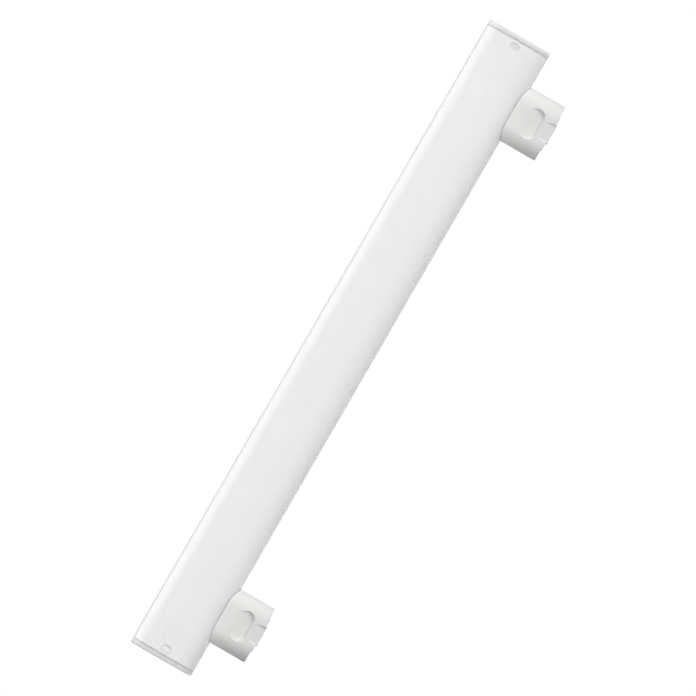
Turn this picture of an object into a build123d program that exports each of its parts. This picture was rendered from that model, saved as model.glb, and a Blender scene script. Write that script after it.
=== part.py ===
from build123d import *
from math import radians, tan
import os

os.makedirs("parts", exist_ok=True)

# A linear opal lamp with two pegs on one side, which push into a pair of spring lampholders.
# All sizes are in millimetres. X runs along the tube, Y across it, and the pegs point down.
# The lamp stands on the tongues of its pegs at z = 0, with the origin midway between them.

# tube
lamp_length = 300.0         # over both end caps
tube_diameter = 29.0
tube_wall = 1.5             # wall round the sockets that take the end caps
seam_chamfer = 0.03         # broken edges on both sides of a seam

# end caps
flange_thickness = 2.42
flange_chamfer = 0.4        # at the lamp's end
skirt_length = 8.0          # how far the skirt reaches into the tube
skirt_wall = 1.4
skirt_clearance = 0.1       # round the skirt, and past its end

# snap lugs of the end caps, in oblong holes through the tube's wall
lug_from_seam = 2.65
lug_hole_axial = 3.0
lug_hole_round = 4.2
lug_clearance = 0.01
lug_sink = 0.03             # top of the lug below the tube's surface
lug_fall = 0.5              # how far the lead-in slope of the lug drops

# pegs
peg_from_end = 29.0         # lamp's end to the middle of the peg
peg_length = 25.7           # along the tube
peg_thickness = 14.4
peg_reach = 16.5            # tube's underside to the end face of the peg
peg_chamfer = 0.3           # round the end face
saddle_clearance = 0.14     # the neck bottoms first, so an even joint shows round the saddle
neck_diameter = 8.0         # spigot of the peg through the tube's wall
neck_depth = 3.0
neck_clearance = 0.1        # round the neck

# detents for the holder's springs, one in each flat of a peg
detent_width = 13.9         # along the tube
detent_height = 7.2
detent_depth = 2.6          # at the foot of the lower wall
detent_flare = 26.0         # degrees, at which the walls open outwards
detent_above_end = 4.7      # end face to the detent's lower rim

# lead-in slopes for the same springs, at the end of each flat
leadin_above_end = 4.0
leadin_depth = 1.3          # at the tip of the tongue
leadin_floor = 7.2
leadin_mouth = 9.8

# end of a peg: a low platform, and a tongue that stands further out
platform_length = 15.4
platform_step = 0.5
tongue_length = 9.0
tongue_step = 0.5           # tongue beyond the platform
tongue_round = 0.8

# contact, a flat-headed rivet sunk in the tongue
contact_head = 6.0
contact_head_thickness = 0.8
contact_shank = 2.6
contact_shank_length = 6.0
contact_sink = 0.3
contact_clearance = 0.05

# places that follow from the sizes
tube_radius = tube_diameter / 2
socket_radius = tube_radius - tube_wall
skirt_radius = socket_radius - skirt_clearance
tube_length = lamp_length - 2 * flange_thickness
end_face_z = platform_step + tongue_step
axis_z = end_face_z + peg_reach + tube_radius
peg_x = -lamp_length / 2 + peg_from_end
seam_x = -tube_length / 2
lug_x = seam_x + lug_from_seam
flat_y = peg_thickness / 2
neck_top_z = axis_z - tube_radius + neck_depth
tube_axis = Axis((0, 0, axis_z), (1, 0, 0))

# Opal tube: a sealed body with a socket in each end, a pair of snap holes by each socket,
# and a hole under each peg for its neck.
with BuildPart() as tube:
    with BuildSketch(Plane.YZ.offset(-tube_length / 2)):
        with Locations((0, axis_z)):
            Circle(tube_radius)
    extrude(amount=tube_length)
    chamfer(tube.edges().filter_by(GeomType.CIRCLE), length=seam_chamfer)
    for end in tube.faces().filter_by(Axis.X):
        with BuildSketch(Plane(end)):
            Circle(socket_radius)
        extrude(amount=-(skirt_length + skirt_clearance), mode=Mode.SUBTRACT)
    with BuildSketch(Plane.XZ):
        with Locations((lug_x, axis_z), (-lug_x, axis_z)):
            SlotOverall(lug_hole_round, lug_hole_axial, rotation=90)
    extrude(amount=tube_radius, both=True, mode=Mode.SUBTRACT)
    with BuildSketch(Plane.XY.offset(axis_z - tube_radius)):
        with Locations((peg_x, 0), (-peg_x, 0)):
            Circle(neck_diameter / 2 + neck_clearance)
    extrude(amount=neck_depth, mode=Mode.SUBTRACT)
tube.part.label = "tube"

# One snap lug: it fills its hole at the cap's side, and slopes down towards the lamp's middle.
lug_slope = Plane(
    origin=(lug_x - lug_hole_axial / 2, tube_radius - lug_sink, axis_z),
    x_dir=(0, 0, 1),
    z_dir=(lug_fall, lug_hole_axial, 0),
)
with BuildPart() as lug:
    with BuildSketch(Plane.XZ.offset(-(skirt_radius - skirt_wall / 2))):
        with Locations((lug_x, axis_z)):
            SlotOverall(lug_hole_round - 2 * lug_clearance, lug_hole_axial - 2 * lug_clearance, rotation=90)
    extrude(amount=-(tube_radius - skirt_radius + skirt_wall))
    split(bisect_by=lug_slope, keep=Keep.BOTTOM)

# End cap: a flange as wide as the tube, with a skirt that goes into it and carries two lugs.
with BuildPart() as left_end_cap:
    with BuildSketch(Plane.XZ):
        with BuildLine():
            Polyline(
                (-lamp_length / 2, axis_z),
                (-lamp_length / 2, axis_z + tube_radius),
                (seam_x, axis_z + tube_radius),
                (seam_x, axis_z + skirt_radius),
                (seam_x + skirt_length, axis_z + skirt_radius),
                (seam_x + skirt_length, axis_z + skirt_radius - skirt_wall),
                (seam_x, axis_z + skirt_radius - skirt_wall),
                (seam_x, axis_z),
                close=True,
            )
        make_face()
    revolve(axis=tube_axis)
    rim = left_end_cap.edges().filter_by(GeomType.CIRCLE).group_by(SortBy.RADIUS)[-1].sort_by(Axis.X)
    chamfer(rim[0], length=flange_chamfer)
    chamfer(rim[-1], length=seam_chamfer)
    add(lug.part)
    mirror(lug.part, about=Plane.XZ)
left_end_cap.part.label = "left_end_cap"

with BuildPart() as right_end_cap:
    mirror(left_end_cap.part, about=Plane.YZ)
right_end_cap.part.label = "right_end_cap"

# Tool for a detent: an oblong pocket with flared walls, whose floor slopes out to the flat at its top.
detent_z = end_face_z + detent_above_end + detent_height / 2
detent_run = detent_height - detent_depth * tan(radians(detent_flare))
detent_floor = Plane(
    origin=(peg_x, -flat_y, detent_z + detent_height / 2),
    x_dir=(1, 0, 0),
    z_dir=(0, detent_run, detent_depth),
)
with BuildPart() as detent:
    with BuildSketch(Plane(origin=(peg_x, -flat_y, detent_z), x_dir=(1, 0, 0), z_dir=(0, 1, 0))):
        SlotOverall(detent_width, detent_height)
    extrude(amount=detent_depth, taper=detent_flare)
    split(bisect_by=detent_floor, keep=Keep.BOTTOM)

# Tool for a lead-in slope: a channel with flared walls, from the tip of the tongue up to the flat.
leadin_rise = end_face_z + leadin_above_end
with BuildPart() as leadin:
    with BuildSketch(Plane.XY):
        with BuildLine():
            Polyline(
                (peg_x - leadin_floor / 2, -flat_y + leadin_depth),
                (peg_x + leadin_floor / 2, -flat_y + leadin_depth),
                (peg_x + leadin_mouth / 2, -flat_y),
                (peg_x + leadin_mouth / 2, -flat_y - leadin_depth),
                (peg_x - leadin_mouth / 2, -flat_y - leadin_depth),
                (peg_x - leadin_mouth / 2, -flat_y),
                close=True,
            )
        make_face()
    extrude(amount=leadin_rise, dir=(0, -leadin_depth, leadin_rise))

# Peg: an oblong moulding that sits on the tube with a saddle, and holds on by its neck.
with BuildPart() as left_peg:
    with BuildSketch(Plane((peg_x, 0, end_face_z))):
        SlotOverall(peg_length, peg_thickness)
    extrude(amount=peg_reach + tube_radius)
    with BuildSketch(Plane.YZ.offset(peg_x)):
        with Locations((0, axis_z)):
            Circle(tube_radius + saddle_clearance)
    extrude(amount=peg_length, both=True, mode=Mode.SUBTRACT)
    chamfer(left_peg.faces().sort_by(Axis.Z)[0].edges(), length=peg_chamfer)
    with BuildSketch(Plane((peg_x, 0, end_face_z))):
        Rectangle(platform_length, peg_thickness - 2 * peg_chamfer)
    extrude(amount=-platform_step)
    add(detent.part, mode=Mode.SUBTRACT)
    mirror(detent.part, about=Plane.XZ, mode=Mode.SUBTRACT)
    add(leadin.part, mode=Mode.SUBTRACT)
    mirror(leadin.part, about=Plane.XZ, mode=Mode.SUBTRACT)
    with BuildSketch(Plane((peg_x, 0, end_face_z))):
        RectangleRounded(tongue_length, peg_thickness - 2 * leadin_depth, tongue_round)
    extrude(amount=-(platform_step + tongue_step))
    with BuildSketch(Plane((peg_x, 0, end_face_z))):
        Circle(neck_diameter / 2)
    extrude(amount=neck_top_z - end_face_z)
    with BuildSketch(Plane((peg_x, 0, 0))):
        Circle(contact_head / 2 + contact_clearance)
    extrude(amount=contact_sink + contact_head_thickness, mode=Mode.SUBTRACT)
    with BuildSketch(Plane((peg_x, 0, 0))):
        Circle(contact_shank / 2 + contact_clearance)
    extrude(
        amount=contact_sink + contact_head_thickness + contact_shank_length + contact_clearance,
        mode=Mode.SUBTRACT,
    )
left_peg.part.label = "left_peg"

with BuildPart() as right_peg:
    mirror(left_peg.part, about=Plane.YZ)
right_peg.part.label = "right_peg"

# Contact: the rivet's head faces the lampholder, and its shank runs up inside the peg.
with BuildPart() as left_contact:
    with BuildSketch(Plane((peg_x, 0, contact_sink))):
        Circle(contact_head / 2)
    extrude(amount=contact_head_thickness)
    with BuildSketch(Plane((peg_x, 0, contact_sink + contact_head_thickness))):
        Circle(contact_shank / 2)
    extrude(amount=contact_shank_length)
left_contact.part.label = "left_contact"

with BuildPart() as right_contact:
    mirror(left_contact.part, about=Plane.YZ)
right_contact.part.label = "right_contact"

export_step(tube.part, "parts/tube.step")
export_step(left_end_cap.part, "parts/left_end_cap.step")
export_step(right_end_cap.part, "parts/right_end_cap.step")
export_step(left_peg.part, "parts/left_peg.step")
export_step(right_peg.part, "parts/right_peg.step")
export_step(left_contact.part, "parts/left_contact.step")
export_step(right_contact.part, "parts/right_contact.step")
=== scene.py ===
import bpy
import math
from mathutils import Matrix, Vector

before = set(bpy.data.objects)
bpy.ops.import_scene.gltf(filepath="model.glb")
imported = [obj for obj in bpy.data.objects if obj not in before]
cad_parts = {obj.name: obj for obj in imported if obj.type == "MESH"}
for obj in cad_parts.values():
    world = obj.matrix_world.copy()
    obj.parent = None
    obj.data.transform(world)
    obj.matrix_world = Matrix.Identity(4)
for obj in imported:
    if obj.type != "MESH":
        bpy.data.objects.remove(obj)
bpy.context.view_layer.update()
bpy.ops.object.select_all(action="DESELECT")
scene = bpy.context.scene
scene.view_settings.view_transform = "Standard"
print("frame:", ", ".join(sorted(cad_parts)))

mmPerMetre = 1000
noiseRange = (0.3, 0.7)  # nearly all of a noise pattern lies between these
wavePeriod = math.pi / 10  # of a wave pattern at scale 1
mixA, mixB, mixResult = 6, 7, 2  # colour sockets of a Mix node, whose names aren't unique
evenScatter = (1.0, 1.0, 1.0)  # white plastics scatter all colours alike


def linearColor(hexCode):
    # sRGB hex to the linear colour that shader sockets take
    parts = [int(hexCode[i:i + 2], 16) / 255 for i in (0, 2, 4)]
    return [p / 12.92 if p <= 0.04045 else ((p + 0.055) / 1.055) ** 2.4 for p in parts] + [1.0]


def addNode(tree, kind, links=None, values=None, **settings):
    # one node, with its settings, socket values and incoming links
    node = tree.nodes.new(kind)
    for key, value in settings.items():
        setattr(node, key, value)
    for key, value in (values or {}).items():
        node.inputs[key].default_value = value
    for key, socket in (links or {}).items():
        tree.links.new(socket, node.inputs[key])
    return node


def startMaterial(name):
    material = bpy.data.materials.new(name)
    material.use_nodes = True
    material.node_tree.nodes.clear()
    return material, material.node_tree


def finishMaterial(tree, shader):
    addNode(tree, "ShaderNodeOutputMaterial", links={"Surface": shader})


def satinAndRelief(tree, gloss, height, roughness, depthMm):
    # roughness that follows one pattern, and fine relief that follows another or the same
    satin = addNode(tree, "ShaderNodeMapRange", links={"Value": gloss}, values={
        "From Min": noiseRange[0], "From Max": noiseRange[1],
        "To Min": roughness[0], "To Max": roughness[1]})
    relief = addNode(tree, "ShaderNodeBump", links={"Height": height}, values={
        "Strength": 1.0, "Distance": depthMm / mmPerMetre})
    return {"Roughness": satin.outputs[0], "Normal": relief.outputs[0]}


def distanceAlong(tree, place):
    # along the tube from the lamp's middle, alike towards both ends
    axes = addNode(tree, "ShaderNodeSeparateXYZ", links={0: place})
    along = addNode(tree, "ShaderNodeMath", operation="ABSOLUTE", links={0: axes.outputs["X"]})
    return along.outputs[0]


def seenOrGiven(tree, seen, given):
    # one strength for what the camera, gloss and glass see, and one for the light that reaches the lamp
    path = addNode(tree, "ShaderNodeLightPath")
    sight = path.outputs["Is Camera Ray"]
    for ray in ("Is Glossy Ray", "Is Transmission Ray"):
        either = addNode(tree, "ShaderNodeMath", operation="MAXIMUM", links={
            0: sight, 1: path.outputs[ray]})
        sight = either.outputs[0]
    strength = addNode(tree, "ShaderNodeMix", links={"Factor": sight}, values={"A": given, "B": seen})
    return strength.outputs["Result"]


def dress(nodeNames, material):
    for nodeName in nodeNames:
        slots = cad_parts[nodeName].data.materials
        slots.clear()
        slots.append(material)


# extruded opal polycarbonate: milky, light soaks in and comes out again, with a satin gloss skin.
# Die lines run along the tube, finer than 0.1 mm in truth and drawn 1.5 mm wide so that they show,
# and the milkiness varies a little from place to place. Near the ends, past endMm, the skirts of the
# caps lie behind the wall, so less light soaks in there
opalTube = {"color": "FAFAF9", "denseColor": "F6F6F5", "cloudMm": 14.0, "roughness": (0.2, 0.25),
            "ior": 1.585, "scatterMm": 4.0, "endScatterMm": 0.3, "endMm": (126.0, 138.0),
            "lineMm": 1.5, "lineLengthMm": 220.0, "lineDepthMm": 0.002}


def makeOpalPolycarbonate(s):
    material, tree = startMaterial("opalPolycarbonate")
    place = addNode(tree, "ShaderNodeTexCoord").outputs["Object"]
    drawn = addNode(tree, "ShaderNodeMapping", links={"Vector": place}, values={
        "Scale": [mmPerMetre / size for size in (s["lineLengthMm"], s["lineMm"], s["lineMm"])]})
    lines = addNode(tree, "ShaderNodeTexNoise", links={"Vector": drawn.outputs[0]}, values={
        "Scale": 1.0, "Detail": 3.0})
    finish = satinAndRelief(tree, lines.outputs[0], lines.outputs[0], s["roughness"], s["lineDepthMm"])
    cloud = addNode(tree, "ShaderNodeTexNoise", links={"Vector": place}, values={
        "Scale": mmPerMetre / s["cloudMm"], "Detail": 2.0})
    color = addNode(tree, "ShaderNodeMix", data_type="RGBA", links={"Factor": cloud.outputs[0]}, values={
        mixA: linearColor(s["color"]), mixB: linearColor(s["denseColor"])})
    scatter = addNode(tree, "ShaderNodeMapRange", links={"Value": distanceAlong(tree, place)}, values={
        "From Min": s["endMm"][0] / mmPerMetre, "From Max": s["endMm"][1] / mmPerMetre,
        "To Min": s["scatterMm"] / mmPerMetre, "To Max": s["endScatterMm"] / mmPerMetre})
    skin = addNode(tree, "ShaderNodeBsdfPrincipled", links={
        "Base Color": color.outputs[mixResult], "Subsurface Scale": scatter.outputs[0], **finish}, values={
        "IOR": s["ior"], "Subsurface Weight": 1.0, "Subsurface Radius": evenScatter})
    finishMaterial(tree, skin.outputs["BSDF"])
    return material


# moulded white polycarbonate of the end caps: the thin flange, past flangeMm, lets light soak along
# it from the lamp's end, and the lugs, with the skirt behind them, are denser. The caps are one colour,
# but the lugs are painted paler than the flange: painted light, standing in for the glow of the opal
# tube around them. The spark-eroded grain of the mould is about 0.1 mm in truth and drawn 0.5 mm wide
# so that it shows
endCap = {"flangeColor": "E8E8E7", "lugGlowColor": "F0F0EF", "roughness": (0.3, 0.42), "ior": 1.585,
          "flangeScatterMm": 3.0, "lugScatterMm": 0.4, "flangeMm": (146.7, 147.3),
          "grainMm": 0.5, "grainDepthMm": 0.004}


def makeCapMoulding(s):
    material, tree = startMaterial("mouldedPolycarbonate")
    place = addNode(tree, "ShaderNodeTexCoord").outputs["Object"]
    flange = addNode(tree, "ShaderNodeMapRange", links={"Value": distanceAlong(tree, place)}, values={
        "From Min": s["flangeMm"][0] / mmPerMetre, "From Max": s["flangeMm"][1] / mmPerMetre})
    # inboard of the flange the colour is paler: a painted glow on the lugs, from the tube around them
    color = addNode(tree, "ShaderNodeMix", data_type="RGBA", links={"Factor": flange.outputs[0]}, values={
        mixA: linearColor(s["lugGlowColor"]), mixB: linearColor(s["flangeColor"])})
    scatter = addNode(tree, "ShaderNodeMapRange", links={"Value": flange.outputs[0]}, values={
        "To Min": s["lugScatterMm"] / mmPerMetre, "To Max": s["flangeScatterMm"] / mmPerMetre})
    grain = addNode(tree, "ShaderNodeTexNoise", links={"Vector": place}, values={
        "Scale": mmPerMetre / s["grainMm"], "Detail": 3.0})
    finish = satinAndRelief(tree, grain.outputs[0], grain.outputs[0], s["roughness"], s["grainDepthMm"])
    skin = addNode(tree, "ShaderNodeBsdfPrincipled", links={
        "Base Color": color.outputs[mixResult], "Subsurface Scale": scatter.outputs[0], **finish}, values={
        "IOR": s["ior"], "Subsurface Weight": 1.0, "Subsurface Radius": evenScatter})
    finishMaterial(tree, skin.outputs["BSDF"])
    return material


# moulded white polyester of the pegs: dense and satin, with a spark-eroded grain a little coarser
# than the caps', also drawn wider than it is, and faint flow marks where the melt ran in the mould
peg = {"color": "EDEDEC", "flowColor": "E9E9E8", "flowMm": 6.0, "roughness": (0.5, 0.64), "ior": 1.55,
       "scatterMm": 0.15, "grainMm": 0.6, "grainDepthMm": 0.006}


def makePegMoulding(s):
    material, tree = startMaterial("mouldedPolyester")
    place = addNode(tree, "ShaderNodeTexCoord").outputs["Object"]
    flow = addNode(tree, "ShaderNodeTexNoise", links={"Vector": place}, values={
        "Scale": mmPerMetre / s["flowMm"], "Detail": 2.0, "Distortion": 1.0})
    color = addNode(tree, "ShaderNodeMix", data_type="RGBA", links={"Factor": flow.outputs[0]}, values={
        mixA: linearColor(s["color"]), mixB: linearColor(s["flowColor"])})
    grain = addNode(tree, "ShaderNodeTexNoise", links={"Vector": place}, values={
        "Scale": mmPerMetre / s["grainMm"], "Detail": 3.0})
    finish = satinAndRelief(tree, grain.outputs[0], grain.outputs[0], s["roughness"], s["grainDepthMm"])
    skin = addNode(tree, "ShaderNodeBsdfPrincipled", links={
        "Base Color": color.outputs[mixResult], **finish}, values={
        "IOR": s["ior"], "Subsurface Weight": 1.0, "Subsurface Scale": s["scatterMm"] / mmPerMetre,
        "Subsurface Radius": evenScatter})
    finishMaterial(tree, skin.outputs["BSDF"])
    return material


# nickel-plated brass of the contacts: a warm bright metal, with the rings of the lathe round each
# rivet's axis and rub marks from the lampholder. Both are finer in truth, and drawn 0.3 mm apart and
# 0.25 mm wide so that they show
contact = {"color": "D8D2C6", "rubColor": "C9C1B2", "roughness": (0.18, 0.38), "axisMm": 121.0,
           "ringMm": 0.3, "ringDepthMm": 0.004, "rubMm": 0.25, "rubLengthMm": 3.0}


def makeNickelPlate(s):
    material, tree = startMaterial("nickelPlate")
    place = addNode(tree, "ShaderNodeTexCoord").outputs["Object"]
    offAxis = addNode(tree, "ShaderNodeMath", operation="SUBTRACT", links={
        0: distanceAlong(tree, place)}, values={1: s["axisMm"] / mmPerMetre})
    axes = addNode(tree, "ShaderNodeSeparateXYZ", links={0: place})
    flat = addNode(tree, "ShaderNodeCombineXYZ", links={"X": offAxis.outputs[0], "Y": axes.outputs["Y"]})
    rings = addNode(tree, "ShaderNodeTexWave", wave_type="RINGS", rings_direction="Z", links={
        "Vector": flat.outputs[0]}, values={
        "Scale": wavePeriod * mmPerMetre / s["ringMm"], "Distortion": 0.4, "Detail Scale": 2.0})
    drawn = addNode(tree, "ShaderNodeMapping", links={"Vector": place}, values={
        "Scale": [mmPerMetre / size for size in (s["rubMm"], s["rubLengthMm"], s["rubLengthMm"])]})
    rubs = addNode(tree, "ShaderNodeTexNoise", links={"Vector": drawn.outputs[0]}, values={
        "Scale": 1.0, "Detail": 3.0})
    color = addNode(tree, "ShaderNodeMix", data_type="RGBA", links={"Factor": rubs.outputs[0]}, values={
        mixA: linearColor(s["color"]), mixB: linearColor(s["rubColor"])})
    finish = satinAndRelief(tree, rubs.outputs[0], rings.outputs["Fac"], s["roughness"], s["ringDepthMm"])
    skin = addNode(tree, "ShaderNodeBsdfPrincipled", links={
        "Base Color": color.outputs[mixResult], **finish}, values={"Metallic": 1.0})
    finishMaterial(tree, skin.outputs["BSDF"])
    return material


dress(["tube"], makeOpalPolycarbonate(opalTube))
dress(["left_end_cap", "right_end_cap"], makeCapMoulding(endCap))
dress(["left_peg", "right_peg"], makePegMoulding(peg))
dress(["left_contact", "right_contact"], makeNickelPlate(contact))
print("materials assigned")

# floor: a round sheet of matte white board with a soft fibre grain, level with the tongues that the
# lamp stands on. It glows evenly, so that it stays pale and still takes the lamp's shadow: glow is
# what the camera and reflections see, and fill is what it gives the lamp from below
floorSheet = {"radius": 2.6, "sides": 96, "color": "CDCDCC", "fibreColor": "C6C6C5", "fibreMm": 1.5,
              "glow": 0.43, "fill": 0.17}


def makeFloor(s):
    bpy.ops.mesh.primitive_circle_add(vertices=s["sides"], radius=s["radius"], fill_type="NGON")
    floor = bpy.context.active_object
    floor.name = "floor"
    material, tree = startMaterial("whiteBoard")
    place = addNode(tree, "ShaderNodeTexCoord").outputs["Object"]
    fibre = addNode(tree, "ShaderNodeTexNoise", links={"Vector": place}, values={
        "Scale": mmPerMetre / s["fibreMm"], "Detail": 3.0})
    color = addNode(tree, "ShaderNodeMix", data_type="RGBA", links={"Factor": fibre.outputs[0]}, values={
        mixA: linearColor(s["color"]), mixB: linearColor(s["fibreColor"])})
    board = addNode(tree, "ShaderNodeBsdfDiffuse", links={"Color": color.outputs[mixResult]})
    light = addNode(tree, "ShaderNodeEmission", links={
        "Strength": seenOrGiven(tree, s["glow"], s["fill"])})
    both = addNode(tree, "ShaderNodeAddShader", links={0: board.outputs[0], 1: light.outputs[0]})
    finishMaterial(tree, both.outputs[0])
    floor.data.materials.append(material)


makeFloor(floorSheet)
print("floor laid")

# studio light: soft panels in front, at the front right, overhead and behind, in an even pale
# surround. Azimuth 0 is the camera's side and 90 the lamp's right end. A panel faces the tube's axis,
# its height is an angle in degrees, and shows says whether reflections have it. Dark cards on the
# left and low behind the lamp draw its edges on the white background
studio = {
    "background": 1.0,
    "surround": 0.38,
    "tubeAxis": (0.0, 0.0, 0.032),
    "panels": [
        {"name": "frontPanel", "azimuth": 0, "height": 7, "distance": 5.0, "size": (4.0, 1.0),
         "watts": 46.0, "shows": False},
        {"name": "rightPanel", "azimuth": 45, "height": 7, "distance": 9.0, "size": (5.4, 1.8),
         "watts": 354.0, "shows": False},
        {"name": "topPanel", "azimuth": 180, "height": 88, "distance": 3.0, "size": (2.4, 1.0),
         "watts": 20.0, "shows": False},
        {"name": "glossPanel", "azimuth": 180, "height": 64, "distance": 3.0, "size": (1.6, 2.8),
         "watts": 20.0, "shows": True},
        {"name": "backPanel", "azimuth": -160, "height": 16, "distance": 3.6, "size": (1.6, 1.4),
         "watts": 56.0, "shows": False},
    ],
    "cards": [
        {"name": "leftCard", "azimuth": -90, "distance": 2.4, "size": (14.0, 6.0), "color": "202020"},
        {"name": "backCard", "azimuth": 180, "distance": 1.8, "size": (3.0, 0.6), "color": "303030"},
    ],
}


def makeSurround(s):
    world = bpy.data.worlds.new("studio")
    scene.world = world
    world.use_nodes = True
    tree = world.node_tree
    tree.nodes.clear()
    strength = seenOrGiven(tree, s["background"], s["surround"])
    sky = addNode(tree, "ShaderNodeBackground", links={"Strength": strength}, values={
        "Color": (1.0, 1.0, 1.0, 1.0)})
    addNode(tree, "ShaderNodeOutputWorld", links={"Surface": sky.outputs[0]})


def makePanel(s, facing):
    data = bpy.data.lights.new(s["name"], "AREA")
    data.shape = "RECTANGLE"
    data.size, data.size_y = s["size"]
    data.energy = s["watts"]
    panel = bpy.data.objects.new(s["name"], data)
    scene.collection.objects.link(panel)
    turn = Matrix.Rotation(math.radians(s["azimuth"]), 4, "Z")
    rise = Matrix.Rotation(math.radians(90 - s["height"]), 4, "X")
    reach = Matrix.Translation((0, 0, s["distance"]))
    panel.matrix_world = Matrix.Translation(facing) @ turn @ rise @ reach
    panel.visible_camera = False
    panel.visible_glossy = s["shows"]


def makeDarkCard(s):
    bpy.ops.mesh.primitive_plane_add(size=1.0)
    card = bpy.context.active_object
    card.name = s["name"]
    width, height = s["size"]
    turn = Matrix.Rotation(math.radians(s["azimuth"]), 4, "Z")
    reach = Matrix.Translation((0, -s["distance"], height / 2))
    stand = Matrix.Rotation(math.radians(90), 4, "X")
    card.data.transform(turn @ reach @ stand @ Matrix.Diagonal((width, height, 1.0, 1.0)))
    card.visible_camera = False
    material, tree = startMaterial("blackCard")
    board = addNode(tree, "ShaderNodeBsdfDiffuse", values={"Color": linearColor(s["color"])})
    finishMaterial(tree, board.outputs[0])
    card.data.materials.append(material)


makeSurround(studio)
for panelSettings in studio["panels"]:
    makePanel(panelSettings, studio["tubeAxis"])
for cardSettings in studio["cards"]:
    makeDarkCard(cardSettings)
print("studio lit")

# camera: square on to the tube and the pegs, turned so that the lamp leans as in the photograph. The
# long lens keeps the tube's sides parallel, and at height 0 the floor is seen edge on
view = {"lens": 1200.0, "sensorWidth": 36.0, "frameWidth": 0.29060, "lean": 59.957,
        "aim": (0.00148, 0.0, 0.02927), "height": 0.0, "clipEnd": 50.0}


def makeCamera(s):
    data = bpy.data.cameras.new("camera")
    data.lens = s["lens"]
    data.sensor_width = s["sensorWidth"]
    data.clip_end = s["clipEnd"]
    camera = bpy.data.objects.new("camera", data)
    scene.collection.objects.link(camera)
    aim = Vector(s["aim"])
    distance = s["frameWidth"] * s["lens"] / s["sensorWidth"]
    camera.location = (aim.x, aim.y - distance, s["height"])
    look = (aim - camera.location).to_track_quat("-Z", "Y").to_matrix().to_4x4()
    lean = Matrix.Rotation(math.radians(-s["lean"]), 4, "Z")
    camera.rotation_euler = (look @ lean).to_euler()
    scene.camera = camera


makeCamera(view)
print("camera placed")
